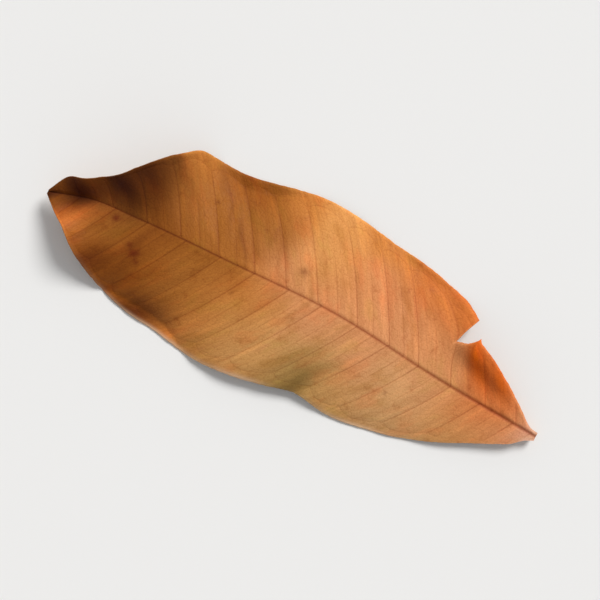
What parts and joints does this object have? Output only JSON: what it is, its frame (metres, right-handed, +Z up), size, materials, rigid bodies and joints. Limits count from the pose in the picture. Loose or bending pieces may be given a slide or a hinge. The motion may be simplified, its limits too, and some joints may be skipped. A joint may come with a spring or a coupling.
{
  "type": "autumn leaf",
  "caption": "Single dried elliptical autumn leaf, orange to brown, gently domed, with a curled tip and a bite out of one margin near the base.",
  "frame": {"origin": "middle of the footprint, on the surface that the leaf lies on", "axes": "+X from the base to the tip, +Y towards the left margin, +Z up from the upper face"},
  "size_m": [0.1201, 0.0454, 0.0117],
  "materials": {
    "dried_leaf": "dry leathery leaf, matt with a faint satin sheen on the upper face"
  },
  "bodies": {
    "root": {"leaf": "dried_leaf"}
  },
  "joints": []
}
